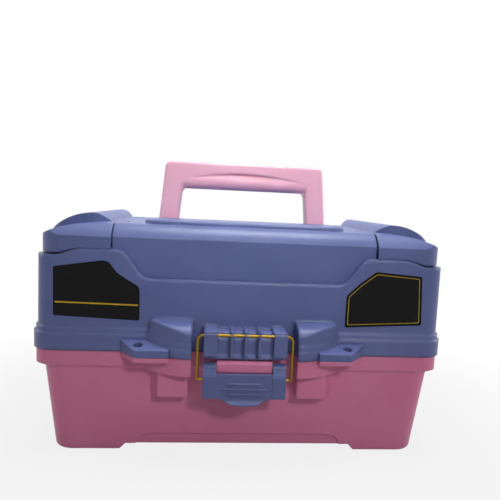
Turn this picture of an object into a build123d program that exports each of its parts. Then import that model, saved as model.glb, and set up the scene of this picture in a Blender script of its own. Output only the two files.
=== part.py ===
from build123d import *
import os

os.makedirs("parts", exist_ok=True)

# Two tray tackle box. Lengths in millimetres, X along the box, front towards -Y, Z up.
# The body is drawn with Y = 0 at the middle of the rim and moved at export so that
# the outer box of the closed part is centred on the origin.

# Overall form of the closed body
rim_length = 378.0
rim_depth = 206.0
rim_corner = 20.0
parting_height = 97.8
wall = 2.5

# Clearances
overrun = 1.0
rim_gap = 0.3
seat_gap = 0.3
seam_gap = 0.8
run_gap = 0.08
side_gap = 0.4
latch_gap = 0.4

# Base tub: drafted walls, end feet with a channel between them, wide flange on top
foot_end_inset = 17.0
foot_side_inset = 11.0
foot_corner = 18.0
foot_round = 4.0
neck_end_inset = 8.8
neck_side_inset = 5.0
neck_corner = 18.0
flange_height = 17.0
flange_slope = 3.0
flange_inset = 1.9
foot_pad_length = 60.0
channel_ramp = 6.5
channel_height = 7.0
arch_end_gap = 16.0
arch_run = 21.0
arch_height = 17.0
arch_depth = 1.2

# Stepped guards on the base and humps on the lid, either side of the latch
guard_inner = 46.5
guard_outer = 88.0
guard_bend = 66.0
guard_reach = 20.5
guard_drop = 16.0
guard_low_inset = 2.0
guard_low_outer = 84.0
guard_low_front = 75.0
guard_low_reach = 7.5
guard_low_drop = 38.5
guard_round = 3.0
swoop_bend = 80.0
swoop_end = 68.0
swoop_drop = 7.0
hump_outer = 85.5
hump_flat_end = 78.0
hump_height = 30.3
hump_knee = 19.0
hump_shoulder = 3.0

# Padlock tabs, one above the other on lid and base
tab_inner = 66.0
tab_outer = 110.0
tab_front_outer = 95.0
tab_reach = 18.5
tab_thickness = 6.5
tab_root_thickness = 11.0
base_tab_thickness = 4.0
tab_round = 3.0
padlock_place = 93.0
padlock_reach = 9.0
padlock_radius = 4.2

# Latch: lever on the base, wire bail on the lever, ribbed catch on the lid
lever_axis_reach = 18.2
lever_axis_drop = 7.2
lever_width = 72.0
lever_arm_width = 11.5
lever_head_radius = 4.6
lever_front_reach = 6.8
lever_shoulder_drop = 6.5
lever_length = 25.6
lever_arm_depth = 10.5
lever_plate = 3.0
lever_plate_set_back = 0.6
lever_window_drop = 3.9
lever_lip_width = 44.0
lever_lip_length = 5.0
lever_lip_flare = 4.5
grip_rib_lengths = (28.0, 38.0, 28.0)
grip_rib_pitch = 4.65
grip_rib_height = 1.4
grip_rib_drop = 12.4
pivot_block_front = 2.8
pivot_block_low = 3.5
pivot_block_high = 6.3
pivot_block_bevel = 2.5
latch_pin_radius = 1.6
latch_pin_set_in = 1.0
wire_radius = 1.3
wire_bend = 5.0
wire_side_gap = 3.7
wire_end_depth = 6.0
bail_drop = 9.8
bail_rise = 22.0
catch_reach = 19.0
catch_low = 0.6
catch_high = 24.5
catch_post_width = 11.5
catch_rib_width = 2.2
catch_rib_pitch = 12.0
catch_pad_set_back = 2.6
catch_pad_drop = 4.4
catch_pad_sill = 1.2
catch_groove_depth = 4.5
catch_top_drop = 2.0

# Rear hinge
hinge_reach = 7.0
knuckle_radius = 5.0
hinge_pin_radius = 2.0
hinge_end_gap = 94.5
base_knuckle_width = 14.0
lid_knuckle_width = 26.0

# Lid: rim band with a bead, drafted wall and a shelf that dips and drops
band_height = 15.0
bead_height = 5.0
bead_inset = 1.8
lid_wall_inset = 3.2
lid_wall_draft = 0.8
shelf_rise = 89.4
shelf_lip = 7.0
shelf_dip = 6.0
dip_start_gap = 45.0
dip_end_gap = 18.0
ledge_drop = 25.0
ledge_shoulder = 4.0
ledge_run = 32.0
panel_inset = 10.0

# Bridge: the middle of the lid top, with the handle bay and the front pad
access_length = 69.0
brow_rise = 11.0
crest_rise = 23.0
crest_inset = 21.0
pad_end_gap = 25.0
pad_rise = 4.0
pad_edge_share = 0.6
pad_front_inset = 16.0
pad_rear_gap = 6.0
pad_corner = 16.0
rail_width = 10.6
rail_depth = 9.0
bay_depth = 21.0
bay_gap = 2.5
bay_finger_room = 9.0
bay_corner = 4.0
bay_boss_radius = 6.2
bay_boss_length = 6.5

# Access lids and the wells under them
flap_inset = 2.0
flap_corner = 20.0
flap_wall = 2.2
flap_end_drop = 12.5
flap_dip = 4.5
flap_crown_rise = 8.0
flap_crown_end_drop = 17.0
flap_crown_ramp = 14.0
flap_crown_inset = 20.0
flap_crown_end_inset = 4.0
flap_crown_side_inset = 5.0
flap_crown_corner = 18.0
flap_edge_depth = 17.0
flap_hinge_inset = 4.0
flap_hinge_drop = 2.5
flap_knuckle_radius = 2.6
flap_knuckle_width = 26.0
flap_hinge_place = 55.0
flap_pin_radius = 1.5
flap_pin_length = 3.0
flap_notch_floor = 4.6
flap_notch_reach = 4.6
well_depth = 35.0
well_wall = 2.0
well_flange = 2.0
well_flange_thickness = 1.5
well_corner = 14.0

# Carrying handle
handle_place = -4.0
handle_height = 71.5
handle_end_gap = 30.5
handle_lean = 8.0
handle_leg_width = 20.0
handle_thickness = 18.0
handle_bar_height = 10.8
handle_arch_rise = 9.0
handle_corner = 6.0
handle_edge_round = 2.5
handle_grip_radius = 8.9
handle_grip_drop = 18.5
handle_web = 10.0
handle_web_corner = 8.0
handle_web_sink = 1.5
handle_pin_radius = 4.0
handle_pin_length = 5.0
handle_pivot_drop = 9.0

# Trays and the bent arms that carry them
tray_end_gap = 24.0
tray_front_gap = 13.0
tray_rear_gap = 50.0
tray_height = 24.0
tray_wall = 1.8
lower_tray_corner = 6.0
upper_tray_corner = 3.0
tray_pin_height = 12.0
tray_boss_radius = 4.5
lower_cells = 3
upper_cells = 4
arm_pivot_drop = 7.0
arm_rear_gap = 17.0
arm_spread_gap = 65.0
arm_lower_back = 42.0
arm_lower_drop = 8.0
arm_upper_back = 72.0
arm_upper_rise = 18.0
arm_half_width = 6.0
arm_thickness = 1.6
arm_gap = 2.2
base_boss_radius = 5.0
lid_boss_radius = 5.0
rivet_radius = 2.0
rivet_head_radius = 3.6
rivet_head_thickness = 1.1
rivet_depth = 4.0

# Places that follow from the values above
rim_front = -rim_depth / 2
rim_rear = rim_depth / 2
foot_length = rim_length - 2 * foot_end_inset
foot_depth = rim_depth - 2 * foot_side_inset
neck_length = rim_length - 2 * neck_end_inset
neck_depth = rim_depth - 2 * neck_side_inset
channel_length = foot_length - 2 * foot_pad_length
arch_half = channel_length / 2 - arch_end_gap
arch_top_half = arch_half - arch_run
flange_length = rim_length - 2 * flange_inset
flange_depth = rim_depth - 2 * flange_inset
flange_front = -flange_depth / 2
flange_rear = flange_depth / 2
flange_bottom = parting_height - flange_height
flange_corner = rim_corner - flange_inset
base_top = parting_height - rim_gap
wall_foot = parting_height + band_height + bead_height
shelf_height = parting_height + shelf_rise
brow_height = shelf_height + brow_rise
crest_height = shelf_height + crest_rise
panel_half = rim_depth / 2 - panel_inset
seam_place = rim_length / 2 - access_length
dip_start = rim_length / 2 - dip_start_gap
dip_end = rim_length / 2 - dip_end_gap
ledge_high_half = seam_place - ledge_shoulder
ledge_low_half = ledge_high_half - ledge_run
pad_length = 2 * (seam_place - pad_end_gap)
handle_foot_half = seam_place - handle_end_gap
handle_top_half = handle_foot_half - handle_lean
lever_half = lever_width / 2
lever_y = rim_front - lever_axis_reach
lever_z = parting_height - lever_axis_drop
bail_y = rim_front - catch_reach - latch_gap - wire_radius
bail_axis_z = lever_z - bail_drop
bail_bar_z = parting_height + bail_rise
bail_half = lever_half + wire_side_gap + wire_radius
hinge_y = rim_rear + hinge_reach
hinge_z = parting_height
hinge_place = rim_length / 2 - hinge_end_gap
handle_z = crest_height - handle_pivot_drop
arm_z = parting_height - arm_pivot_drop
tray_front = rim_front + tray_front_gap
tray_length = rim_length - 2 * tray_end_gap
tray_depth = rim_depth - tray_front_gap - tray_rear_gap
tray_half = tray_length / 2
arm_spacing = tray_depth - arm_spread_gap
arm_front_place = rim_rear - arm_rear_gap - arm_spacing
arm_inner = tray_half + arm_gap
arm_outer = arm_inner + arm_thickness
lower_tray_z = arm_z - arm_lower_drop - tray_pin_height
upper_tray_z = arm_z + arm_upper_rise - tray_pin_height
lid_pin_y = hinge_y - arm_upper_back
lid_pin_z = hinge_z + arm_upper_rise
flap_hinge_x = seam_place - flap_hinge_inset
flap_hinge_z = crest_height - flap_hinge_drop
lever_front = lever_y - lever_front_reach
lip_tip_y = lever_front + lever_plate_set_back - lever_lip_flare
rear_reach = hinge_y + knuckle_radius
body_shift = -(lip_tip_y + rear_reach) / 2


def slab(length, depth, corner, low, high):
    """Upright prism with rounded corners, centred on the box."""
    return extrude(Pos(0, 0, low) * RectangleRounded(length, depth, corner), high - low)


def drafted(low_size, low, high_size, high):
    """Solid between two rounded rectangles, each given as length, depth and corner."""
    bottom = Pos(0, 0, low) * RectangleRounded(*low_size)
    top = Pos(0, 0, high) * RectangleRounded(*high_size)
    return loft([bottom, top])


def block(x0, x1, y0, y1, z0, z1):
    """Box between two corners."""
    place = Pos((x0 + x1) / 2, (y0 + y1) / 2, (z0 + z1) / 2)
    return place * Box(x1 - x0, y1 - y0, z1 - z0)


def prism_x(sketch, x0, x1):
    """Extrude a sketch drawn in Y and Z along X."""
    return extrude(Plane.YZ.offset(x0) * sketch, x1 - x0)


def prism_y(sketch, y0, y1):
    """Extrude a sketch drawn in X and Z along Y."""
    return extrude(Plane.XZ.offset(-y1) * sketch, y1 - y0)


def rod_x(radius, x0, x1, y, z):
    """Round bar along X."""
    return prism_x(Pos(y, z) * Circle(radius), x0, x1)


def rod_y(radius, y0, y1, x, z):
    """Round bar along Y."""
    return prism_y(Pos(x, z) * Circle(radius), y0, y1)


def both_ends(part):
    """A piece drawn at the +X end together with its mirror image."""
    return part + mirror(part, about=Plane.YZ)


def s_curve(start, end):
    """Level to level curve between two points of a sketch."""
    middle = (start[0] + end[0]) / 2
    return Bezier(start, (middle, start[1]), (middle, end[1]), end)


def brow_curve(y0, z0, y1, z1):
    """Brow that leaves a panel steeply and runs level into the crest."""
    return Bezier((y0, z0), (y0 + (y1 - y0) / 3, z1), (y1 + (y0 - y1) / 3, z1), (y1, z1))


def grown(size, amount):
    """Rounded rectangle size moved outward by an amount, or inward if negative."""
    length, depth, corner = size
    return (length + 2 * amount, depth + 2 * amount, corner + amount)


def save(name, part):
    """Move a piece into the shared frame and write its file."""
    export_step(Pos(0, body_shift, 0) * part, f"parts/{name}.step")


# Base tub
foot_size = (foot_length, foot_depth, foot_corner)
neck_size = (neck_length, neck_depth, neck_corner)
flange_size = (flange_length, flange_depth, flange_corner)


def channel_sketch(grow):
    """Section of the raised floor between the two feet, grown by a wall."""
    half = channel_length / 2 + grow
    roof = channel_height + grow
    ramp = channel_ramp * roof / channel_height
    low = -overrun
    return make_face(Polyline((-half, low), (-half, 0), (ramp - half, roof),
                              (half - ramp, roof), (half, 0), (half, low), close=True))


def tub_wall(inset):
    """Drafted lower body with the flange band, moved inward by a wall."""
    floor = inset
    neck_z = flange_bottom + inset
    slope_z = neck_z + flange_slope
    body = drafted(grown(foot_size, -inset), floor, grown(neck_size, -inset), neck_z)
    if inset == 0:
        body = fillet(body.edges().group_by(Axis.Z)[0], foot_round)
    slope = drafted(grown(neck_size, -inset), neck_z, grown(flange_size, -inset), slope_z)
    top = base_top + (overrun if inset else 0)
    band = slab(*grown(flange_size, -inset), slope_z, top)
    return body + slope + band


def arch_recess():
    """Shallow arched recess low in the front wall."""
    left = Bezier((-arch_half, channel_height), (-arch_half, arch_height), (-arch_top_half, arch_height))
    right = Bezier((arch_top_half, arch_height), (arch_half, arch_height), (arch_half, channel_height))
    top = Line((-arch_top_half, arch_height), (arch_top_half, arch_height))
    foot = Polyline((arch_half, channel_height), (arch_half, -overrun),
                    (-arch_half, -overrun), (-arch_half, channel_height))
    cutter = prism_y(make_face([left, top, right, foot]), -foot_depth, 0)
    core = drafted(grown(foot_size, -arch_depth), -overrun, grown(neck_size, -arch_depth), flange_bottom)
    return cutter - core


def guard_plan(inset, root):
    """Plan of a guard: square towards the latch, swept back to the rim at its outer end."""
    front = rim_front - guard_reach + inset
    rim = rim_front + inset
    outer_curve = Bezier((guard_inner, front), (guard_bend, front), (guard_outer, rim))
    rest = Polyline((guard_outer, rim), (guard_outer, root), (guard_inner, root), (guard_inner, front))
    return make_face([outer_curve, rest])


def base_guard():
    """Two stepped tiers that shield one side of the latch."""
    root = -neck_depth / 2 + wall
    front = rim_front - guard_low_reach
    inner = guard_inner + guard_low_inset
    upper = extrude(Pos(0, 0, base_top - guard_drop) * guard_plan(flange_inset, root), guard_drop)
    plan = make_face(Polyline((inner, root), (inner, front), (guard_low_front, front),
                              (guard_low_outer, root), close=True))
    plan = fillet(plan.vertices().group_by(Axis.Y)[0], guard_round)
    lower = extrude(Pos(0, 0, base_top - guard_low_drop) * plan, guard_low_drop - guard_drop)
    return upper + lower


def pivot_block():
    """Block on the flange that carries the lever pin and fills the lever's window."""
    half = lever_half - lever_arm_width - side_gap
    front = lever_y - pivot_block_front
    root = flange_front + wall / 2
    low = lever_z - pivot_block_low
    high = lever_z + pivot_block_high
    section = make_face(Polyline((root, low), (front, low), (front, high - pivot_block_bevel),
                                 (front + pivot_block_bevel, high), (root, high), close=True))
    bore = rod_x(latch_pin_radius + run_gap, -half - overrun, half + overrun, lever_y, lever_z)
    return prism_x(section, -half, half) - bore


def knuckle(place, width, low, high, root):
    """Hinge barrel with the web that ties it to the rear of its shell."""
    barrel = rod_x(knuckle_radius, place - width / 2, place + width / 2, hinge_y, hinge_z)
    web = block(place - width / 2, place + width / 2, root, hinge_y, low, high)
    return barrel + web


def hinge_bore(place):
    """Bore for one hinge pin through its three knuckles."""
    half = lid_knuckle_width / 2 + side_gap + base_knuckle_width + overrun
    return rod_x(hinge_pin_radius + run_gap, place - half, place + half, hinge_y, hinge_z)


base_tub = tub_wall(0) - prism_y(channel_sketch(0), -rim_depth, rim_depth)
base_tub -= arch_recess()
base_tub += both_ends(base_guard())
base_tub += pivot_block()
base_tub -= tub_wall(wall) - prism_y(channel_sketch(wall), -rim_depth, rim_depth)
knuckle_offset = (lid_knuckle_width + base_knuckle_width) / 2 + side_gap
for side in (-1, 1):
    for step in (-1, 1):
        place = side * hinge_place + step * knuckle_offset
        web_low = hinge_z - knuckle_radius
        base_tub += knuckle(place, base_knuckle_width, web_low, base_top, flange_rear - wall / 2)
    base_tub -= hinge_bore(side * hinge_place)
arm_places = (arm_front_place, arm_front_place + arm_spacing)
boss_root = flange_length / 2 - wall / 2
for arm_y in arm_places:
    boss = rod_x(base_boss_radius, arm_outer + side_gap, boss_root, arm_y, arm_z)
    hole = rod_x(rivet_radius + run_gap, arm_outer, arm_outer + side_gap + rivet_depth, arm_y, arm_z)
    base_tub += both_ends(boss)
    base_tub -= both_ends(hole)
save("base_tub", base_tub)


# Padlock tabs
def padlock_tab(low, front_height, root_height, inset):
    """Tab with an upright hole at the right hand end, ended by the guard beside it."""
    front = rim_front - tab_reach
    root = rim_front + inset
    plan = make_face(Polyline((tab_inner, root), (tab_inner, front), (tab_front_outer, front),
                              (tab_outer, root), close=True))
    corner = plan.vertices().group_by(Axis.Y)[0].sort_by(Axis.X)[-1]
    tab = extrude(Pos(0, 0, low) * fillet(corner, tab_round), root_height)
    slope = make_face(Polyline((root, low), (root, low + root_height), (front, low + front_height),
                               (front, low), close=True))
    tab &= prism_x(slope, tab_inner, tab_outer)
    beside = guard_plan(inset, root + wall)
    tab -= extrude(Pos(0, 0, low - overrun) * beside, root_height + 2 * overrun)
    hole = Pos(padlock_place, rim_front - padlock_reach, low + root_height / 2)
    return tab - hole * Cylinder(padlock_radius, root_height + overrun)


lower_tab = padlock_tab(base_top - base_tab_thickness, base_tab_thickness, base_tab_thickness, flange_inset)
upper_tab = padlock_tab(parting_height, tab_thickness, tab_root_thickness, 0)
save("base_padlock_tabs", both_ends(lower_tab))
save("lid_padlock_tabs", both_ends(upper_tab))

# Lid shell
rim_size = (rim_length, rim_depth, rim_corner)
bead_size = grown(rim_size, -bead_inset)
wall_size = grown(rim_size, -lid_wall_inset)
top_size = grown(wall_size, -lid_wall_draft)
shelf_open_half = rim_length / 2 - lid_wall_inset - lid_wall_draft - shelf_lip
well_open_half = panel_half - wall


def shelf_line(level, dip, drop):
    """Edges of the shelf along X, with end dips and a drop in the middle."""
    far = rim_length
    points = [(-far, level - dip), (-dip_end, level - dip), (-dip_start, level)]
    edges = [Line(points[0], points[1]), s_curve(points[1], points[2])]
    if drop:
        upper = (-ledge_high_half, level)
        lower = (-ledge_low_half, level - drop)
        edges += [Line(points[2], upper), s_curve(upper, lower)]
        edges += [Line(lower, (ledge_low_half, level - drop))]
        edges += [s_curve((ledge_low_half, level - drop), (ledge_high_half, level))]
        edges += [Line((ledge_high_half, level), (dip_start, level))]
    else:
        edges += [Line(points[2], (dip_start, level))]
    edges += [s_curve((dip_start, level), (dip_end, level - dip))]
    edges += [Line((dip_end, level - dip), (far, level - dip))]
    return edges


def above_shelf(level, dip, drop):
    """Everything above the shelf line, as a sketch in X and Z."""
    far = rim_length
    roof = Polyline((far, level - dip), (far, level + far), (-far, level + far), (-far, level - dip))
    return make_face(shelf_line(level, dip, drop) + [roof])


def lid_form(inset):
    """Rim band, bead and drafted wall of the lid, moved inward by a wall."""
    low = parting_height - (overrun if inset else 0)
    band = slab(*grown(rim_size, -inset), low, parting_height + band_height - inset)
    bead = slab(*grown(bead_size, -inset), low, wall_foot - inset)
    body = drafted(grown(wall_size, -inset), low, grown(top_size, -inset), shelf_height)
    bay = block(-guard_inner - inset, guard_inner + inset, -rim_depth, 0, low - overrun, wall_foot)
    return (band + bead - bay) + body


def trim_to_shelf(part, level):
    """Cut a lid form down to the shelf, with the drop in front only."""
    rear = prism_y(above_shelf(level, shelf_dip, 0), 0, rim_depth)
    front = prism_y(above_shelf(level, shelf_dip, ledge_drop), -rim_depth, 0)
    return part - rear - front


def below_swoop(rise):
    """Everything below a rim line that swoops down towards the latch."""
    low = parting_height
    high = low + rise
    foot = high - swoop_drop
    curve = Bezier((guard_outer, high), (swoop_bend, foot), (swoop_end, foot))
    rest = Polyline((swoop_end, foot), (guard_inner, foot), (guard_inner, low), (guard_outer, low),
                    (guard_outer, high))
    return prism_y(make_face([curve, rest]), -rim_depth, 0)


def rim_apron(inset, rise, root):
    """Rim band or bead carried round the front of the guard."""
    column = extrude(Pos(0, 0, parting_height) * guard_plan(inset, root), rise)
    return column & below_swoop(rise)


def lid_hump(root):
    """Hump over the guard: plan, side view and front view in one."""
    front = rim_front - guard_reach + lid_wall_inset
    low = parting_height
    knee = low + hump_knee
    top = low + hump_height
    column = extrude(Pos(0, 0, low) * guard_plan(lid_wall_inset, root), hump_height)
    side = make_face([Polyline((root, top), (root, low), (front, low), (front, knee)),
                      Bezier((front, knee), (front, top - hump_shoulder), (root, top))])
    view = make_face([Polyline((hump_flat_end, top), (guard_inner, top), (guard_inner, low),
                               (hump_outer, low), (hump_outer, knee)),
                      Bezier((hump_outer, knee), (hump_outer, top), (hump_flat_end, top))])
    return column & prism_x(side, guard_inner, guard_outer) & prism_y(view, -rim_depth, 0)


def catch_block(root):
    """Block that the bail draws down: posts and ribs with stepped pads between them."""
    low = parting_height + catch_low
    high = parting_height + catch_high
    front = rim_front - catch_reach
    inner = lever_half - catch_post_width
    pad_front = front + catch_pad_set_back
    sill_low = low + catch_pad_sill
    sill_high = sill_low + catch_pad_set_back
    pad_top = bail_bar_z - catch_pad_drop
    step_front = pad_front + catch_groove_depth
    pad_high = high - catch_top_drop
    pads = make_face(Polyline((root, low), (front, low), (front, sill_low), (pad_front, sill_high),
                              (pad_front, pad_top), (step_front, pad_top), (step_front, pad_high),
                              (root, pad_high), close=True))
    solid = prism_x(pads, -inner, inner)
    solid += both_ends(block(inner, lever_half, front, root, low, high))
    for step in (-1, 0, 1):
        middle = step * catch_rib_pitch
        solid += block(middle - catch_rib_width / 2, middle + catch_rib_width / 2, front, root, low, high)
    return solid


lid_solid = trim_to_shelf(lid_form(0), shelf_height)
front_root = rim_front + lid_wall_inset + wall / 2
guard_front = lid_hump(front_root) + rim_apron(0, band_height, front_root)
guard_front += rim_apron(bead_inset, band_height + bead_height, front_root)
lid_solid += both_ends(guard_front)
lid_solid += catch_block(front_root)
lid_void = trim_to_shelf(lid_form(wall), shelf_height - wall)
bridge_half = seam_place - seam_gap / 2
end_opening = block(-shelf_open_half, shelf_open_half, -well_open_half, well_open_half,
                    wall_foot, crest_height)
middle_opening = block(-bridge_half, bridge_half, -panel_half, panel_half, wall_foot, crest_height)
lid_shell = lid_solid - lid_void - end_opening - middle_opening
for side in (-1, 1):
    web_low = parting_height + rim_gap
    web_high = hinge_z + knuckle_radius
    lid_shell += knuckle(side * hinge_place, lid_knuckle_width, web_low, web_high, rim_rear - wall / 2)
    lid_shell -= hinge_bore(side * hinge_place)
lid_boss_root = rim_length / 2 - lid_wall_inset - wall / 2
lid_boss = rod_x(lid_boss_radius, arm_inner, lid_boss_root, lid_pin_y, lid_pin_z)
lid_boss -= rod_x(rivet_radius + run_gap, arm_inner - overrun, arm_inner + rivet_depth,
                  lid_pin_y, lid_pin_z)
lid_shell += both_ends(lid_boss)
save("lid_shell", lid_shell)


# Bridge
bay_front = handle_place - handle_thickness / 2 - bay_gap
bay_rear = handle_place + handle_height + bay_finger_room
bay_half = handle_foot_half + bay_gap
bay_floor = crest_height - bay_depth
pad_front = -panel_half + pad_front_inset
pad_rear = bay_front - pad_rear_gap + wall


def bridge_section(inset):
    """Section of the bridge in Y and Z: front panel, brow, crest and rear panel."""
    half = panel_half - inset
    low = shelf_height - ledge_drop - wall - (overrun if inset else 0)
    brow = brow_height - inset / 2
    crest = crest_height - inset
    knee = panel_half - crest_inset
    front_brow = brow_curve(-half, brow, -knee, crest)
    rear_brow = brow_curve(half, brow, knee, crest)
    lines = [Line((-half, low), (-half, brow)), front_brow, Line((-knee, crest), (knee, crest)),
             rear_brow, Line((half, brow), (half, low)), Line((half, low), (-half, low))]
    return make_face(lines)


def bay_slab(grow, low, high):
    """Plan of the handle bay, grown by a wall, as a prism."""
    plan = RectangleRounded(2 * (bay_half + grow), bay_rear - bay_front + 2 * grow, bay_corner + grow)
    return extrude(Pos(0, (bay_front + bay_rear) / 2, low) * plan, high - low)


def pad_slab(inset, low, high):
    """Raised pad in front of the handle, moved inward by a wall."""
    plan = RectangleRounded(pad_length - 2 * inset, pad_rear - pad_front - 2 * inset, pad_corner - inset)
    return extrude(Pos(0, (pad_front + pad_rear) / 2, low) * plan, high - low)


bridge = prism_x(bridge_section(0), -bridge_half, bridge_half)
pad = pad_slab(0, crest_height - wall, crest_height + pad_rise)
pad = fillet(pad.faces().sort_by(Axis.Z)[-1].edges(), pad_rise * pad_edge_share)
bridge += pad
hollow = prism_x(bridge_section(wall), wall - bridge_half, bridge_half - wall)
hollow += pad_slab(wall, crest_height - 2 * wall, crest_height + pad_rise - wall)
rail_low = crest_height - rail_depth
rail = block(bridge_half - rail_width, bridge_half, -panel_half, panel_half, rail_low, crest_height)
hollow -= both_ends(rail)
rear_low = shelf_height - 2 * wall
rear_cut = block(-bridge_half, bridge_half, panel_half - wall - overrun, panel_half + overrun,
                 parting_height, rear_low)
bridge = bridge - hollow - rear_cut - bay_slab(wall, bay_floor, crest_height + overrun)
notch_floor = flap_hinge_z - flap_notch_floor
notch_half = flap_knuckle_width / 2 + side_gap
for step in (-1, 1):
    middle = step * flap_hinge_place
    notch = block(flap_hinge_x - flap_notch_reach, bridge_half + overrun, middle - notch_half,
                  middle + notch_half, notch_floor, crest_height + overrun)
    reach = notch_half + flap_pin_length + run_gap
    pin_bore = rod_y(flap_pin_radius + run_gap, middle - reach, middle + reach, flap_hinge_x, flap_hinge_z)
    bridge -= both_ends(notch + pin_bore)
save("lid_bridge", bridge)

# Handle recess: floor, walls and the bosses that carry the handle
recess = bay_slab(wall, bay_floor - wall, crest_height)
recess += both_ends(rod_x(bay_boss_radius, bay_half, bay_half + bay_boss_length, handle_place, handle_z))
recess -= bay_slab(0, bay_floor, crest_height + overrun)
bore_end = bay_half + handle_pin_length
handle_bore = rod_x(handle_pin_radius + run_gap, bay_half - overrun, bore_end, handle_place, handle_z)
recess -= both_ends(handle_bore)
save("handle_recess", recess)


# Access lids, drawn at the +X end
flap_inner = seam_place + seam_gap / 2
flap_outer = rim_length / 2 - lid_wall_inset - lid_wall_draft - flap_inset
flap_half = rim_depth / 2 - lid_wall_inset - lid_wall_draft - flap_inset


def half_plan(x0, x1, half, corner):
    """Plan with rounded corners at the outer end only."""
    plan = make_face(Polyline((x0, -half), (x1, -half), (x1, half), (x0, half), close=True))
    return fillet(plan.vertices().group_by(Axis.X)[-1], corner)


def flap_form(inset):
    """Crowned cap over a well, moved inward by its wall."""
    x1 = flap_outer - inset
    half = flap_half - inset
    crest = crest_height - inset
    brow = brow_height - inset
    end = crest - flap_end_drop
    low = shelf_height + seat_gap - shelf_dip - (2 * overrun if inset else overrun)
    inner = flap_inner + inset
    plan = extrude(Pos(0, 0, low) * half_plan(inner, x1, half, flap_corner - inset), crest_height)
    fall = make_face([
        Line((inner, crest), (dip_start - flap_crown_inset, crest)),
        Bezier((dip_start - flap_crown_inset, crest), (dip_end - flap_crown_inset / 2, crest), (x1, end)),
        Polyline((x1, end), (x1, low), (inner, low), (inner, crest)),
    ])
    knee = panel_half - crest_inset
    rise = make_face([
        brow_curve(-half, brow, -knee, crest),
        Line((-knee, crest), (knee, crest)),
        brow_curve(half, brow, knee, crest),
        Polyline((half, brow), (half, low), (-half, low), (-half, brow)),
    ])
    return plan & prism_y(fall, -rim_depth, rim_depth) & prism_x(rise, 0, rim_length)


def flap_crown(inset):
    """Raised panel on the access lid, falling towards its outer end."""
    x0 = flap_inner + flap_crown_side_inset + inset
    x1 = flap_outer - flap_crown_end_inset - inset
    half = flap_half - flap_crown_inset - inset
    top = crest_height + flap_crown_rise - inset
    end = top - flap_crown_end_drop
    low = crest_height - flap_end_drop - flap_wall - overrun
    plan = RectangleRounded(x1 - x0, 2 * half, flap_crown_corner - inset)
    column = extrude(Pos((x0 + x1) / 2, 0, low) * plan, crest_height)
    start = crest_height - inset
    peak = x0 + flap_crown_ramp
    fall = make_face([
        Bezier((x0, start), ((x0 + peak) / 2, top), (peak, top)),
        Bezier((peak, top), ((peak + x1) / 2, top), (x1, end)),
        Polyline((x1, end), (x1, low), (x0, low), (x0, start)),
    ])
    return column & prism_y(fall, -half, half)


def flap_skirt_cut():
    """What is cut from below an access lid so that it follows the shelf."""
    line = shelf_line(shelf_height + seat_gap, flap_dip, 0)
    low = parting_height
    far = rim_length
    level = shelf_height + seat_gap - flap_dip
    return prism_y(make_face(line + [Polyline((far, level), (far, low), (-far, low), (-far, level))]),
                   -rim_depth, rim_depth)


right_lid = (flap_form(0) + flap_crown(0)) - (flap_form(flap_wall) + flap_crown(flap_wall))
right_lid -= flap_skirt_cut()
skirt_half = flap_half - flap_wall
right_lid -= block(flap_inner - overrun, flap_inner + flap_wall + overrun, -skirt_half, skirt_half,
                   parting_height, crest_height - flap_edge_depth)
for step in (-1, 1):
    middle = step * flap_hinge_place
    half = flap_knuckle_width / 2
    barrel = rod_y(flap_knuckle_radius, middle - half, middle + half, flap_hinge_x, flap_hinge_z)
    tongue = block(flap_hinge_x, flap_inner + flap_wall, middle - half, middle + half,
                   flap_hinge_z - flap_knuckle_radius, flap_hinge_z + flap_wall)
    trunnion = rod_y(flap_pin_radius, middle - half - flap_pin_length, middle + half + flap_pin_length,
                     flap_hinge_x, flap_hinge_z)
    right_lid += barrel + tongue + trunnion
save("right_access_lid", right_lid)
save("left_access_lid", mirror(right_lid, about=Plane.YZ))

# Wells, drawn at the +X end
well_inner = bridge_half + seat_gap
well_outer = shelf_open_half - seat_gap
well_half = well_open_half - seat_gap
well_floor = shelf_height - well_depth
well_top = shelf_height + seat_gap + well_flange_thickness


def well_box(inset, low, high):
    """Box of the well, moved inward by its wall."""
    length = well_outer - well_inner - 2 * inset
    plan = RectangleRounded(length, 2 * (well_half - inset), well_corner - inset)
    return extrude(Pos((well_inner + well_outer) / 2, 0, low) * plan, high - low)


right_well = well_box(0, well_floor, well_top)
flange_plan = half_plan(well_inner, well_outer + well_flange, well_half + well_flange, flap_corner)
right_well += extrude(Pos(0, 0, shelf_height + seat_gap) * flange_plan, well_flange_thickness)
right_well -= well_box(well_wall, well_floor + well_wall, well_top + overrun)
save("right_well", right_well)
save("left_well", mirror(right_well, about=Plane.YZ))


# Handle
handle_top = handle_z + handle_height
handle_foot = handle_z - handle_thickness / 2
grip_z = handle_top - handle_grip_drop


def leg_inside(z):
    """Half of the opening between the legs at a height."""
    fall = (z - handle_foot) / (handle_top - handle_foot)
    return handle_foot_half - handle_leg_width - handle_lean * fall


def opening_sides(low, high):
    """Lines down the inside of both legs and across below them."""
    return Polyline((leg_inside(high), high), (leg_inside(low), low), (-leg_inside(low), low),
                    (-leg_inside(high), high))


def handle_outline():
    """Front view of the handle, standing up, as a sketch in X and Z."""
    outer = Polyline((-handle_foot_half, handle_foot), (-handle_top_half, handle_top),
                     (handle_top_half, handle_top), (handle_foot_half, handle_foot), close=True)
    frame = fillet(make_face(outer).vertices().group_by(Axis.Y)[-1], handle_corner)
    bar_low = handle_top - handle_bar_height - handle_arch_rise
    half = leg_inside(bar_low)
    arch = ThreePointArc((-half, bar_low), (0, bar_low + handle_arch_rise), (half, bar_low))
    return frame - make_face([arch, opening_sides(handle_foot - overrun, bar_low)])


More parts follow.
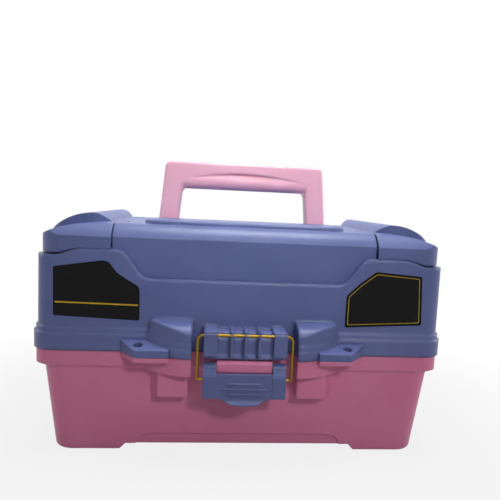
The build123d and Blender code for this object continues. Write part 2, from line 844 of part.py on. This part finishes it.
def handle_web_outline():
    """Web that rounds the corners of the opening below the grip."""
    high = grip_z - handle_grip_radius + handle_web_sink
    low = high - 2 * handle_web_corner
    half = leg_inside(high) + handle_leg_width / 2
    plate = make_face(Polyline((-half, grip_z), (half, grip_z), (half, low), (-half, low), close=True))
    across = Line((-leg_inside(high), high), (leg_inside(high), high))
    opening = make_face([across, opening_sides(low - overrun, high)])
    return plate - fillet(opening.vertices().group_by(Axis.Y)[-1], handle_web_corner)


handle_half_thickness = handle_thickness / 2
handle_front = handle_place - handle_half_thickness
handle_rear = handle_place + handle_half_thickness
handle = prism_y(handle_outline(), handle_front, handle_rear)
handle_faces = handle.faces().sort_by(Axis.Y)
handle = fillet(handle_faces[0].edges() + handle_faces[-1].edges(), handle_edge_round)
foot_clip = block(-rim_length, rim_length, handle_place - handle_thickness, handle_place + handle_thickness,
                  handle_z - handle_thickness, handle_z)
foot_clip -= rod_x(handle_half_thickness, -rim_length, rim_length, handle_place, handle_z)
handle = handle - foot_clip
handle += prism_y(handle_web_outline(), handle_place - handle_web / 2, handle_place + handle_web / 2)
grip_half = handle_top_half - handle_leg_width / 2
handle += rod_x(handle_grip_radius, -grip_half, grip_half, handle_place, grip_z)
pin_root = handle_foot_half - handle_leg_width / 2
trunnion_end = bay_half + handle_pin_length - side_gap
handle += both_ends(rod_x(handle_pin_radius, pin_root, trunnion_end, handle_place, handle_z))
save("handle", handle)


# Latch lever
def lever_arm_outline():
    """Side view of a lever arm in Y and Z: round head and deep cheek."""
    back = lever_front + lever_arm_depth
    low = lever_z - lever_length
    front_high = lever_z - lever_shoulder_drop
    head = ThreePointArc((lever_y + lever_head_radius, lever_z), (lever_y, lever_z + lever_head_radius),
                         (lever_y - lever_head_radius, lever_z))
    rest = Polyline((lever_y - lever_head_radius, lever_z), (lever_front, front_high), (lever_front, low),
                    (lever_front + lever_plate, low), (back, bail_axis_z - lever_plate * 2),
                    (back, bail_axis_z + lever_plate), (lever_y + lever_head_radius, lever_z))
    return make_face([head, rest])


arm_outline = lever_arm_outline()
lever = both_ends(prism_x(arm_outline, lever_half - lever_arm_width, lever_half))
plate_front = lever_front + lever_plate_set_back
plate_back = plate_front + lever_plate
plate_top = lever_z - lever_window_drop
plate_low = lever_z - lever_length
lever += block(-lever_half, lever_half, plate_front, plate_back, plate_low, plate_top)
lip_low = plate_low - lever_lip_length
lip_front = plate_front - lever_lip_flare
lip = make_face([
    Line((plate_front, plate_low), (plate_back, plate_low)),
    Bezier((plate_back, plate_low), (plate_back, lip_low), (lip_front, lip_low)),
    Line((lip_front, lip_low), (lip_front, lip_low + lever_plate / 2)),
    Bezier((lip_front, lip_low + lever_plate / 2), (plate_front, lip_low + lever_plate),
           (plate_front, plate_low)),
])
lip_half = lever_lip_width / 2
lip_view = make_face([Line((lip_half, plate_low), (-lip_half, plate_low)),
                      ThreePointArc((-lip_half, plate_low), (0, lip_low), (lip_half, plate_low))])
lever += prism_x(lip, -lip_half, lip_half) & prism_y(lip_view, lip_front, plate_back)
for number, rib_length in enumerate(grip_rib_lengths):
    rib_z = lever_z - grip_rib_drop - number * grip_rib_pitch
    lever += block(-rib_length / 2, rib_length / 2, plate_front - grip_rib_height,
                   plate_front + grip_rib_height, rib_z - grip_rib_height / 2, rib_z + grip_rib_height / 2)
lever -= rod_x(latch_pin_radius + run_gap, -lever_half - overrun, lever_half + overrun, lever_y, lever_z)
wire_hole = rod_x(wire_radius + run_gap, lever_half - wire_end_depth - side_gap, lever_half + overrun,
                  bail_y, bail_axis_z)
lever -= both_ends(wire_hole)
save("latch_lever", lever)

# Latch pin and wire bail
latch_pin_half = lever_half - latch_pin_set_in
save("latch_pin", rod_x(latch_pin_radius, -latch_pin_half, latch_pin_half, lever_y, lever_z))
wire_end = lever_half - wire_end_depth
route = FilletPolyline((wire_end, bail_y, bail_axis_z), (bail_half, bail_y, bail_axis_z),
                       (bail_half, bail_y, bail_bar_z), (-bail_half, bail_y, bail_bar_z),
                       (-bail_half, bail_y, bail_axis_z), (-wire_end, bail_y, bail_axis_z),
                       radius=(wire_radius * 2, wire_bend, wire_bend, wire_radius * 2))
bail = sweep(Plane(route @ 0, z_dir=route % 0) * Circle(wire_radius), path=route)
save("latch_bail", bail)

# Hinge pins
hinge_pin_half = lid_knuckle_width / 2 + side_gap + base_knuckle_width
for name, side in (("left", -1), ("right", 1)):
    low_end = side * hinge_place - hinge_pin_half
    high_end = side * hinge_place + hinge_pin_half
    save(f"hinge_pin_{name}", rod_x(hinge_pin_radius, low_end, high_end, hinge_y, hinge_z))


# Trays
def tray_shell(low, corner, pins):
    """Open tray with a boss at each pin."""
    plan = (tray_length, tray_depth, corner)
    place = Pos(0, tray_front + tray_depth / 2, 0)
    shell = place * slab(*plan, low, low + tray_height)
    shell -= place * slab(*grown(plan, -tray_wall), low + tray_wall, low + tray_height + overrun)
    boss_end = arm_inner - side_gap
    for pin_y, pin_z in pins:
        shell += both_ends(rod_x(tray_boss_radius, tray_half - tray_wall / 2, boss_end, pin_y, pin_z))
        hole_start = tray_half - tray_wall - overrun
        shell -= both_ends(rod_x(rivet_radius + run_gap, hole_start, boss_end + overrun, pin_y, pin_z))
    return shell


def tray_dividers(low, cells):
    """Grid that stands in a tray: one long divider and the cross dividers."""
    floor = low + tray_wall
    top = low + tray_height
    half = tray_half - tray_wall
    front = tray_front + tray_wall
    back = tray_front + tray_depth - tray_wall
    pitch = (2 * half + tray_wall) / cells
    middle = (front + back) / 2
    grid = block(-half, half, middle - tray_wall / 2, middle + tray_wall / 2, floor, top)
    for column in range(1, cells):
        right = -half + column * pitch
        grid += block(right - tray_wall, right, front, back, floor, top)
    return grid


lower_pins = [(y - arm_lower_back, arm_z - arm_lower_drop) for y in arm_places]
upper_pins = [(y - arm_upper_back, arm_z + arm_upper_rise) for y in arm_places]
lid_pin = (lid_pin_y, lid_pin_z)
save("lower_tray", tray_shell(lower_tray_z, lower_tray_corner, lower_pins))
save("upper_tray", tray_shell(upper_tray_z, upper_tray_corner, upper_pins + [lid_pin]))
save("lower_tray_dividers", tray_dividers(lower_tray_z, lower_cells))
save("upper_tray_dividers", tray_dividers(upper_tray_z, upper_cells))


# Tray arms
def link(start, end):
    """Flat bar with round ends between two points of a sketch."""
    ends = Pos(*start) * Circle(arm_half_width) + Pos(*end) * Circle(arm_half_width)
    return make_hull(ends.edges())


def tray_arm(arm_y):
    """Bent plate from its base pivot past the lower tray pin to the upper tray pin."""
    pivot = (arm_y, arm_z)
    lower = (arm_y - arm_lower_back, arm_z - arm_lower_drop)
    upper = (arm_y - arm_upper_back, arm_z + arm_upper_rise)
    outline = link(pivot, lower) + link(lower, upper)
    for point in (pivot, lower, upper):
        outline -= Pos(*point) * Circle(rivet_radius + run_gap)
    return prism_x(outline, arm_inner, arm_outer)


for name, arm_y in zip(("front", "rear"), arm_places):
    arm = tray_arm(arm_y)
    save(f"{name}_arm_right", arm)
    save(f"{name}_arm_left", mirror(arm, about=Plane.YZ))


# Rivets
def rivet(head_x, direction, length, y, z):
    """Round head with its shank running along X from the head's inner face."""
    shank_end = head_x + direction * length
    head_end = head_x - direction * rivet_head_thickness
    shank = rod_x(rivet_radius, min(head_x, shank_end), max(head_x, shank_end), y, z)
    return shank + rod_x(rivet_head_radius, min(head_x, head_end), max(head_x, head_end), y, z)


def rivet_group(head_x, direction, length, places):
    """The same rivet at every place, at both ends of the box."""
    group = [rivet(head_x, direction, length, y, z) for y, z in places]
    return Compound(group + [mirror(one, about=Plane.YZ) for one in group])


base_pins = [(y, arm_z) for y in arm_places]
base_shank = arm_outer + rivet_depth - arm_inner
save("base_arm_rivets", rivet_group(arm_inner, 1, base_shank, base_pins))
tray_shank = arm_outer - tray_half + tray_wall
save("lower_tray_rivets", rivet_group(arm_outer, -1, tray_shank, lower_pins))
save("upper_tray_rivets", rivet_group(arm_outer, -1, tray_shank, upper_pins))
lid_shank = arm_inner + rivet_depth - tray_half + tray_wall
save("lid_tray_rivets", rivet_group(tray_half - tray_wall, 1, lid_shank, [lid_pin]))
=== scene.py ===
import math

import bmesh
import bpy
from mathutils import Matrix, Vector
from mathutils.bvhtree import BVHTree


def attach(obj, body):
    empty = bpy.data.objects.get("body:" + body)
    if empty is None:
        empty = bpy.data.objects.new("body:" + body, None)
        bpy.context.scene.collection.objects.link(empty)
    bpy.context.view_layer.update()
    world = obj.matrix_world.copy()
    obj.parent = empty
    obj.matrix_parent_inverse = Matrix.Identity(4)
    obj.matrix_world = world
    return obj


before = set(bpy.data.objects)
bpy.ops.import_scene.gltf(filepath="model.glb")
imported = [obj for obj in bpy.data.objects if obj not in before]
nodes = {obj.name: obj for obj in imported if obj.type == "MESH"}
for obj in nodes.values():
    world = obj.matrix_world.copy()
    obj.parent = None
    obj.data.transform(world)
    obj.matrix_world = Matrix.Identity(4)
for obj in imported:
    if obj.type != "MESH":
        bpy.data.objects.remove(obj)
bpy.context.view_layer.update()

# Base tub with its two padlock tabs: one deep injection moulding of pink polypropylene with
# drafted walls, a wide flange and stepped guards beside the latch. The mould steel was spark
# eroded, so the skin comes out satin with a fine grain.
MM = 0.001


def srgb(hex_code):
    """Linear colour of an sRGB hex code."""
    channels = [int(hex_code[i:i + 2], 16) / 255 for i in (1, 3, 5)]
    linear = [c / 12.92 if c <= 0.04045 else ((c + 0.055) / 1.055) ** 2.4 for c in channels]
    return (*linear, 1.0)


def add_node(tree, kind, settings=None, inputs=None):
    """One node with its settings, and its inputs set to a value or linked to a socket."""
    node = tree.nodes.new(kind)
    for name, value in (settings or {}).items():
        setattr(node, name, value)
    for name, value in (inputs or {}).items():
        if isinstance(value, bpy.types.NodeSocket):
            tree.links.new(value, node.inputs[name])
        else:
            node.inputs[name].default_value = value
    return node


def moulded_polypropylene(name, colour, faded, rubbed, roughness, corner_mm):
    """Moulded polypropylene. The eye sees a satin skin with a fine grain, a cloudy drift in the
    colour where it has faded, duller patches from handling, and paler rubbed edges."""
    material = bpy.data.materials.new(name)
    material.use_nodes = True
    tree = material.node_tree
    shader = tree.nodes["Principled BSDF"]
    place = add_node(tree, "ShaderNodeTexCoord").outputs["Object"]
    # Fading drifts over about 70 mm, handling over 9 mm. The eroded grain is about 0.2 mm
    # wide and is drawn at 0.8 mm, because finer grain doesn't show at this distance.
    drift = add_node(tree, "ShaderNodeTexNoise", {}, {
        "Vector": place, "Scale": 1 / (70 * MM), "Detail": 3.0, "Roughness": 0.6})
    handling = add_node(tree, "ShaderNodeTexNoise", {}, {
        "Vector": place, "Scale": 1 / (9 * MM), "Detail": 6.0, "Roughness": 0.7})
    grain = add_node(tree, "ShaderNodeTexNoise", {}, {
        "Vector": place, "Scale": 1 / (0.8 * MM), "Detail": 2.0, "Roughness": 0.5})
    faded_share = add_node(tree, "ShaderNodeMapRange", {}, {
        "Value": drift.outputs["Fac"], "From Min": 0.35, "From Max": 0.75})
    skin_colour = add_node(tree, "ShaderNodeMix", {"data_type": "RGBA"}, {
        "Factor": faded_share.outputs["Result"]})
    skin_colour.inputs["A"].default_value = srgb(colour)
    skin_colour.inputs["B"].default_value = srgb(faded)
    # Edges: the moulded corner radius, and rubbing on the outermost 1.2 mm.
    corner = add_node(tree, "ShaderNodeBevel", {"samples": 8}, {"Radius": corner_mm * MM})
    worn_corner = add_node(tree, "ShaderNodeBevel", {"samples": 4}, {"Radius": 1.2 * MM})
    flat = add_node(tree, "ShaderNodeNewGeometry").outputs["Normal"]
    turn = add_node(tree, "ShaderNodeVectorMath", {"operation": "DOT_PRODUCT"})
    tree.links.new(worn_corner.outputs["Normal"], turn.inputs[0])
    tree.links.new(flat, turn.inputs[1])
    edge = add_node(tree, "ShaderNodeMapRange", {}, {
        "Value": turn.outputs["Value"], "From Min": 0.75, "From Max": 0.98,
        "To Min": 0.55, "To Max": 0.0})
    patchy = add_node(tree, "ShaderNodeMath", {"operation": "MULTIPLY"})
    tree.links.new(edge.outputs["Result"], patchy.inputs[0])
    tree.links.new(handling.outputs["Fac"], patchy.inputs[1])
    worn_colour = add_node(tree, "ShaderNodeMix", {"data_type": "RGBA"}, {
        "Factor": patchy.outputs["Value"]})
    tree.links.new(skin_colour.outputs[2], worn_colour.inputs["A"])
    worn_colour.inputs["B"].default_value = srgb(rubbed)
    dull = add_node(tree, "ShaderNodeMapRange", {}, {
        "Value": handling.outputs["Fac"], "From Min": 0.3, "From Max": 0.7,
        "To Min": roughness - 0.05, "To Max": roughness + 0.08})
    skin = add_node(tree, "ShaderNodeBump", {}, {
        "Height": grain.outputs["Fac"], "Distance": 0.04 * MM, "Strength": 0.35,
        "Normal": corner.outputs["Normal"]})
    tree.links.new(worn_colour.outputs[2], shader.inputs["Base Color"])
    tree.links.new(dull.outputs["Result"], shader.inputs["Roughness"])
    tree.links.new(skin.outputs["Normal"], shader.inputs["Normal"])
    shader.inputs["IOR"].default_value = 1.49
    shader.inputs["Specular IOR Level"].default_value = 0.35
    return material


def dress(material, *names):
    """Give CAD nodes a material."""
    for name in names:
        mesh = nodes[name].data
        mesh.materials.clear()
        mesh.materials.append(material)


dress(moulded_polypropylene("pink_moulded_polypropylene", "#D2749A", "#D680A2", "#E2A6BE",
                            roughness=0.42, corner_mm=1.6), "base_tub", "base_padlock_tabs")

# Cantilever linkage: four bent arms stamped from zinc plated sheet steel, with headed
# aluminium rivets as pivots in the base, the trays and the lid.
def bright_metal(name, colour, roughness):
    """Metal with a drawn or rolled skin. The eye sees a soft gleam broken by dull patches of
    handling and tarnish a few millimetres wide."""
    material = bpy.data.materials.new(name)
    material.use_nodes = True
    tree = material.node_tree
    shader = tree.nodes["Principled BSDF"]
    place = add_node(tree, "ShaderNodeTexCoord").outputs["Object"]
    tarnish = add_node(tree, "ShaderNodeTexNoise", {}, {
        "Vector": place, "Scale": 1 / (4 * MM), "Detail": 5.0, "Roughness": 0.6})
    dull = add_node(tree, "ShaderNodeMapRange", {}, {
        "Value": tarnish.outputs["Fac"], "From Min": 0.3, "From Max": 0.7,
        "To Min": roughness - 0.08, "To Max": roughness + 0.14})
    tree.links.new(dull.outputs["Result"], shader.inputs["Roughness"])
    shader.inputs["Base Color"].default_value = srgb(colour)
    shader.inputs["Metallic"].default_value = 1.0
    return material


dress(bright_metal("zinc_plated_rolled_steel", "#A9ACB2", 0.42),
      "front_arm_left", "front_arm_right", "rear_arm_left", "rear_arm_right")
dress(bright_metal("headed_aluminium", "#C8CACD", 0.38),
      "base_arm_rivets", "lower_tray_rivets", "upper_tray_rivets", "lid_tray_rivets")

# Two trays with their dividers: thin injection mouldings of pale grey polypropylene that
# hang between the arms, one above the other.
dress(moulded_polypropylene("pale_grey_moulded_polypropylene", "#C6C9D8", "#D0D2DE", "#E2E3EA",
                            roughness=0.45, corner_mm=0.5),
      "lower_tray", "upper_tray", "lower_tray_dividers", "upper_tray_dividers")

# Lid: shell, bridge, handle recess, padlock tabs, the two wells and the two hinged access
# lids, all injection moulded in the same periwinkle polypropylene. The shell's humps and
# beads have the fullest radii.
periwinkle_colours = ("#566092", "#5F699B", "#868FBF")
periwinkle = moulded_polypropylene("periwinkle_moulded_polypropylene", *periwinkle_colours,
                                   roughness=0.36, corner_mm=1.4)
dress(periwinkle, "lid_bridge", "handle_recess", "lid_padlock_tabs", "left_well", "right_well",
      "left_access_lid", "right_access_lid")
dress(moulded_polypropylene("periwinkle_polypropylene_with_full_radii", *periwinkle_colours,
                            roughness=0.36, corner_mm=4.5), "lid_shell")

# Lips of the catch: upright noses on the front of the lid's catch block, moulded with it.
# The wire's bar lies behind them: two wide ones on the end posts and three slim ribs.
parting = 97.8
catch_front = -113.55
lip_profile = ((0.0, 3.2), (-3.1, 3.2), (-4.2, 4.4), (-4.2, 18.8), (-4.4, 20.2), (-4.4, 23.2),
               (-4.1, 23.9), (-3.6, 23.9), (-3.4, 23.4), (-3.4, 20.4), (0.0, 20.4))


def lip_mesh(name, width):
    """One lip: its side view drawn forward from the catch and upward from the parting line."""
    shape = bmesh.new()
    ring = [shape.verts.new((-width / 2 * MM, (catch_front + y) * MM, (parting + z) * MM))
            for y, z in lip_profile]
    face = shape.faces.new(ring)
    grown = bmesh.ops.extrude_face_region(shape, geom=[face])
    side = [v for v in grown["geom"] if isinstance(v, bmesh.types.BMVert)]
    bmesh.ops.translate(shape, verts=side, vec=(width * MM, 0, 0))
    bmesh.ops.recalc_face_normals(shape, faces=shape.faces)
    mesh = bpy.data.meshes.new(name)
    shape.to_mesh(mesh)
    shape.free()
    return mesh


def row_tree():
    """Geometry Nodes: a centred row of one piece along X with a count, a pitch and a finish."""
    tree = bpy.data.node_groups.new("row_of_lips", "GeometryNodeTree")
    interface = tree.interface
    interface.new_socket("Lip", in_out="INPUT", socket_type="NodeSocketGeometry")
    interface.new_socket("Count", in_out="INPUT", socket_type="NodeSocketInt")
    interface.new_socket("Pitch", in_out="INPUT", socket_type="NodeSocketFloat")
    interface.new_socket("Finish", in_out="INPUT", socket_type="NodeSocketMaterial")
    interface.new_socket("Row", in_out="OUTPUT", socket_type="NodeSocketGeometry")
    given = add_node(tree, "NodeGroupInput").outputs
    gaps = add_node(tree, "ShaderNodeMath", {"operation": "SUBTRACT"})
    tree.links.new(given["Count"], gaps.inputs[0])
    gaps.inputs[1].default_value = 1.0
    run = add_node(tree, "ShaderNodeMath", {"operation": "MULTIPLY"})
    tree.links.new(gaps.outputs[0], run.inputs[0])
    tree.links.new(given["Pitch"], run.inputs[1])
    left = add_node(tree, "ShaderNodeMath", {"operation": "MULTIPLY"})
    tree.links.new(run.outputs[0], left.inputs[0])
    left.inputs[1].default_value = -0.5
    start = add_node(tree, "ShaderNodeCombineXYZ", {}, {"X": left.outputs[0]})
    step = add_node(tree, "ShaderNodeCombineXYZ", {}, {"X": given["Pitch"]})
    line = add_node(tree, "GeometryNodeMeshLine", {"mode": "OFFSET"}, {
        "Count": given["Count"], "Start Location": start.outputs[0], "Offset": step.outputs[0]})
    placed = add_node(tree, "GeometryNodeInstanceOnPoints", {}, {
        "Points": line.outputs["Mesh"], "Instance": given["Lip"]})
    real = add_node(tree, "GeometryNodeRealizeInstances", {}, {
        "Geometry": placed.outputs["Instances"]})
    finish = add_node(tree, "GeometryNodeSetMaterial", {}, {
        "Geometry": real.outputs["Geometry"], "Material": given["Finish"]})
    add_node(tree, "NodeGroupOutput", {}, {"Row": finish.outputs["Geometry"]})
    return tree


def lip_row(name, width, count, pitch):
    """A row of lips as one plain mesh that rides on the lid."""
    tree = row_tree()
    piece = bpy.data.objects.new(name, lip_mesh(name, width))
    bpy.context.scene.collection.objects.link(piece)
    modifier = piece.modifiers.new("row", "NODES")
    modifier.node_group = tree
    sockets = {s.name: s.identifier for s in tree.interface.items_tree if s.in_out == "INPUT"}
    modifier[sockets["Count"]] = count
    modifier[sockets["Pitch"]] = pitch * MM
    modifier[sockets["Finish"]] = periwinkle
    made = piece.evaluated_get(bpy.context.evaluated_depsgraph_get())
    mesh = bpy.data.meshes.new_from_object(made)
    piece.modifiers.remove(modifier)
    piece.data = mesh
    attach(piece, "lid")


lip_row("catch_post_lips", width=11.5, count=2, pitch=60.5)
lip_row("catch_rib_lips", width=2.2, count=3, pitch=12.0)

# Two labels on the lid's front wall: black vinyl film with a gloss laminate, cut to the
# shape of the wall beside the middle panel and pressed on. Their printed rules are gold ink.
lid_surface = BVHTree.FromPolygons([v.co for v in nodes["lid_shell"].data.vertices],
                                   [p.vertices for p in nodes["lid_shell"].data.polygons])
film_back, film_face, ink_face = 0.02, 0.22, 0.27
clear_of_box = 300


def rounded(corners, radius, steps=5):
    """Outline of a polygon in millimetres with its corners rounded."""
    outline = []
    for i, corner in enumerate(corners):
        corner = Vector(corner)
        before = Vector(corners[i - 1]) - corner
        after = Vector(corners[(i + 1) % len(corners)]) - corner
        a = corner + before.normalized() * min(radius, before.length * 0.45)
        b = corner + after.normalized() * min(radius, after.length * 0.45)
        for k in range(steps + 1):
            t = k / steps
            outline.append((1 - t) ** 2 * a + 2 * t * (1 - t) * corner + t ** 2 * b)
    return outline


def drawn_in(corners, distance):
    """The same polygon with its sides moved inwards."""
    middle = sum((Vector(c) for c in corners), Vector((0, 0))) / len(corners)
    moved = []
    for i, corner in enumerate(corners):
        corner = Vector(corner)
        a = (corner - Vector(corners[i - 1])).normalized()
        b = (Vector(corners[(i + 1) % len(corners)]) - corner).normalized()
        inward = Vector((a.y, -a.x)) + Vector((b.y, -b.x))
        inward = inward if inward.dot(middle - corner) > 0 else -inward
        moved.append(corner + inward * (distance / (1 + a.dot(b))))
    return moved


def wall_point(x, z, proud):
    """Point in front of the lid's front wall, all in millimetres."""
    hit, _, _, _ = lid_surface.ray_cast(Vector((x, -clear_of_box, z)) * MM, Vector((0, 1, 0)))
    return hit + Vector((0, -proud * MM, 0))


def film(name, outlines, low, high, material):
    """Flat film between two distances from the wall: an outline, or a ring of two."""
    shape = bmesh.new()
    levels = [[[shape.verts.new(wall_point(x, z, proud)) for x, z in outline]
               for outline in outlines] for proud in (low, high)]
    count = len(outlines[0])
    if len(outlines) == 1:
        shape.faces.new(levels[0][0])
        shape.faces.new(levels[1][0])
    for k in range(count):
        n = (k + 1) % count
        for back, front in zip(levels[0], levels[1]):
            shape.faces.new((back[k], back[n], front[n], front[k]))
        if len(outlines) == 2:
            for outer, inner in levels:
                shape.faces.new((outer[k], outer[n], inner[n], inner[k]))
    bmesh.ops.triangulate(shape, faces=[f for f in shape.faces if len(f.verts) > 4])
    bmesh.ops.recalc_face_normals(shape, faces=shape.faces)
    mesh = bpy.data.meshes.new(name)
    shape.to_mesh(mesh)
    shape.free()
    mesh.materials.append(material)
    piece = bpy.data.objects.new(name, mesh)
    bpy.context.scene.collection.objects.link(piece)
    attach(piece, "lid")


def printed_film(name, colour, rubbed, roughness, shine):
    """Ink under a gloss laminate. The eye sees an even colour, a soft shine and faint greyish
    rubbing where other things have brushed against it."""
    material = bpy.data.materials.new(name)
    material.use_nodes = True
    tree = material.node_tree
    shader = tree.nodes["Principled BSDF"]
    place = add_node(tree, "ShaderNodeTexCoord").outputs["Object"]
    rub = add_node(tree, "ShaderNodeTexNoise", {}, {
        "Vector": place, "Scale": 1 / (12 * MM), "Detail": 7.0, "Roughness": 0.75})
    share = add_node(tree, "ShaderNodeMapRange", {}, {
        "Value": rub.outputs["Fac"], "From Min": 0.5, "From Max": 0.8, "To Max": 0.35})
    tint = add_node(tree, "ShaderNodeMix", {"data_type": "RGBA"}, {
        "Factor": share.outputs["Result"]})
    tint.inputs["A"].default_value = srgb(colour)
    tint.inputs["B"].default_value = srgb(rubbed)
    dull = add_node(tree, "ShaderNodeMapRange", {}, {
        "Value": rub.outputs["Fac"], "To Min": roughness - 0.08, "To Max": roughness + 0.12})
    tree.links.new(tint.outputs[2], shader.inputs["Base Color"])
    tree.links.new(dull.outputs["Result"], shader.inputs["Roughness"])
    shader.inputs["IOR"].default_value = 1.5
    shader.inputs["Specular IOR Level"].default_value = shine
    return material


black_film = printed_film("black_vinyl_film", "#0C0C0E", "#242428", roughness=0.36, shine=0.1)
gold_ink = printed_film("gold_printing_ink", "#C8A52A", "#B89A3C", roughness=0.4, shine=0.2)
left_label = ((-168.4, 171.3), (-126.3, 177.9), (-121.1, 176.8), (-114.2, 167.7), (-105.5, 161.8),
              (-95.7, 156.2), (-94.0, 152.6), (-93.7, 125.1), (-168.3, 128.1))
right_label = ((118.9, 176.1), (162.2, 172.9), (164.8, 127.4), (92.3, 123.6), (92.3, 153.0),
               (104.0, 164.5))
left_rule = ((-166.8, 140.8), (-166.8, 139.5), (-95.2, 138.3), (-95.2, 139.6))
right_rule = [rounded(drawn_in(right_label, 2.2), 1.6), rounded(drawn_in(right_label, 2.7), 1.4)]
label_corner = 2.0
film("left_label", [rounded(left_label, label_corner)], film_back, film_face, black_film)
film("right_label", [rounded(right_label, label_corner)], film_back, film_face, black_film)
film("left_label_rule", [left_rule], film_face, ink_face, gold_ink)
film("right_label_rule", right_rule, film_face, ink_face, gold_ink)

# Latch: a ribbed lever moulded like the lid, turning on a bright drawn steel pin in the
# base, with a bail bent from brass plated spring wire. The lid's hinge pins are the same steel.
dress(periwinkle, "latch_lever")
dress(bright_metal("brass_plated_spring_wire", "#7C6224", 0.3), "latch_bail")
dress(bright_metal("bright_drawn_steel", "#B4B6BA", 0.32), "latch_pin", "hinge_pin_left",
      "hinge_pin_right")

# Carrying handle: a separate moulding with round pivots sprung into the lid's recess. Its pink
# is paler than the base's: partly a paler plastic, partly painted light that stands in for
# the bright light falling on the handle's front.
dress(moulded_polypropylene("pale_pink_polypropylene_with_painted_light", "#F0B3C7", "#F1BBCD", "#F5D2DE",
                            roughness=0.34, corner_mm=1.4), "handle")

# Studio: a white paper floor that keeps the box's shadow and fades to plain white around it,
# white surroundings, soft lamps overhead, behind and at the sides, and a smaller one in front.
def looked_at(tree):
    """1 for rays that are seen, mirrored or looked through, and 0 for rays that only light."""
    rays = add_node(tree, "ShaderNodeLightPath")
    seen = add_node(tree, "ShaderNodeMath", {"operation": "ADD", "use_clamp": True})
    tree.links.new(rays.outputs["Is Camera Ray"], seen.inputs[0])
    tree.links.new(rays.outputs["Is Glossy Ray"], seen.inputs[1])
    through = add_node(tree, "ShaderNodeMath", {"operation": "ADD", "use_clamp": True})
    tree.links.new(seen.outputs[0], through.inputs[0])
    tree.links.new(rays.outputs["Is Transmission Ray"], through.inputs[1])
    return through.outputs[0]


floor_mesh = bpy.data.meshes.new("paper_floor")
half_floor = 6.0
floor_mesh.from_pydata([(-half_floor, -half_floor, 0), (half_floor, -half_floor, 0),
                        (half_floor, half_floor, 0), (-half_floor, half_floor, 0)],
                       [], [(0, 1, 2, 3)])
floor = bpy.data.objects.new("paper_floor", floor_mesh)
bpy.context.scene.collection.objects.link(floor)
paper = bpy.data.materials.new("white_matt_paper")
paper.use_nodes = True
tree = paper.node_tree
tree.nodes.remove(tree.nodes["Principled BSDF"])
place = add_node(tree, "ShaderNodeTexCoord").outputs["Object"]
away = add_node(tree, "ShaderNodeVectorMath", {"operation": "LENGTH"})
tree.links.new(place, away.inputs[0])
plain = add_node(tree, "ShaderNodeMapRange", {"interpolation_type": "SMOOTHSTEP"}, {
    "Value": away.outputs["Value"], "From Min": 0.22, "From Max": 0.5,
    "To Min": 0.84, "To Max": 1.0})
share = add_node(tree, "ShaderNodeMath", {"operation": "MULTIPLY"})
tree.links.new(looked_at(tree), share.inputs[0])
tree.links.new(plain.outputs["Result"], share.inputs[1])
matt = add_node(tree, "ShaderNodeBsdfDiffuse", {}, {"Color": srgb("#A0A0A0")})
white = add_node(tree, "ShaderNodeEmission", {}, {"Color": srgb("#FFFFFF"), "Strength": 1.0})
mixed = add_node(tree, "ShaderNodeMixShader", {}, {"Fac": share.outputs[0]})
tree.links.new(matt.outputs[0], mixed.inputs[1])
tree.links.new(white.outputs[0], mixed.inputs[2])
tree.links.new(mixed.outputs[0], tree.nodes["Material Output"].inputs["Surface"])
floor_mesh.materials.append(paper)

surroundings = bpy.data.worlds.new("white_surroundings")
bpy.context.scene.world = surroundings
surroundings.use_nodes = True
tree = surroundings.node_tree
level = add_node(tree, "ShaderNodeMapRange", {}, {
    "Value": looked_at(tree), "To Min": 0.15, "To Max": 1.0})
background = tree.nodes["Background"]
background.inputs["Color"].default_value = srgb("#FFFFFF")
tree.links.new(level.outputs["Result"], background.inputs["Strength"])


def softbox(name, place, target, size, power, spread=180, mirrored=True):
    """Square area lamp that looks at a point, and is or is not mirrored in shiny faces."""
    lamp = bpy.data.lights.new(name, "AREA")
    lamp.shape = "SQUARE"
    lamp.size = size
    lamp.energy = power
    lamp.spread = math.radians(spread)
    stand = bpy.data.objects.new(name, lamp)
    stand.location = place
    stand.rotation_euler = (Vector(target) - Vector(place)).to_track_quat("-Z", "Y").to_euler()
    stand.visible_glossy = mirrored
    bpy.context.scene.collection.objects.link(stand)


# The rear lamp isn't mirrored, so that the lid's top keeps its colour at a low angle.
base_middle = (0, 0, 0.12)
softbox("overhead_softbox", (0.1, 0.0, 1.4), (0, 0, 0.2), size=0.6, power=15.0)
softbox("high_softbox", (0.1, -1.0, 1.0), (0, 0, 0.27), size=0.25, power=0.11, spread=14)
softbox("front_softbox", (0.36, -1.04, 0.74), (0, -0.05, 0.14), size=0.12, power=3.7)
softbox("rear_softbox", (-0.3, 1.5, 0.8), base_middle, size=0.9, power=9.0, mirrored=False)
softbox("left_softbox", (-1.5, 0.25, 0.7), base_middle, size=0.7, power=6.0)
softbox("right_softbox", (1.5, 0.25, 0.7), base_middle, size=0.7, power=6.0)

# Camera: where the photograph was taken from, a little left of the middle and just above
# the lid, with the lens and frame of the photograph.
lens = bpy.data.cameras.new("photograph_camera")
lens.sensor_width = 36.0
lens.lens = 36.26
lens.shift_x = -0.0046
lens.shift_y = 0.0260
lens.clip_start = 0.01
camera = bpy.data.objects.new("photograph_camera", lens)
camera.location = (-0.03426, -0.53539, 0.23418)
camera.rotation_euler = [math.radians(angle) for angle in (83.099, -2.650, -4.659)]
bpy.context.scene.collection.objects.link(camera)
bpy.context.scene.camera = camera
bpy.context.scene.view_settings.view_transform = "Standard"
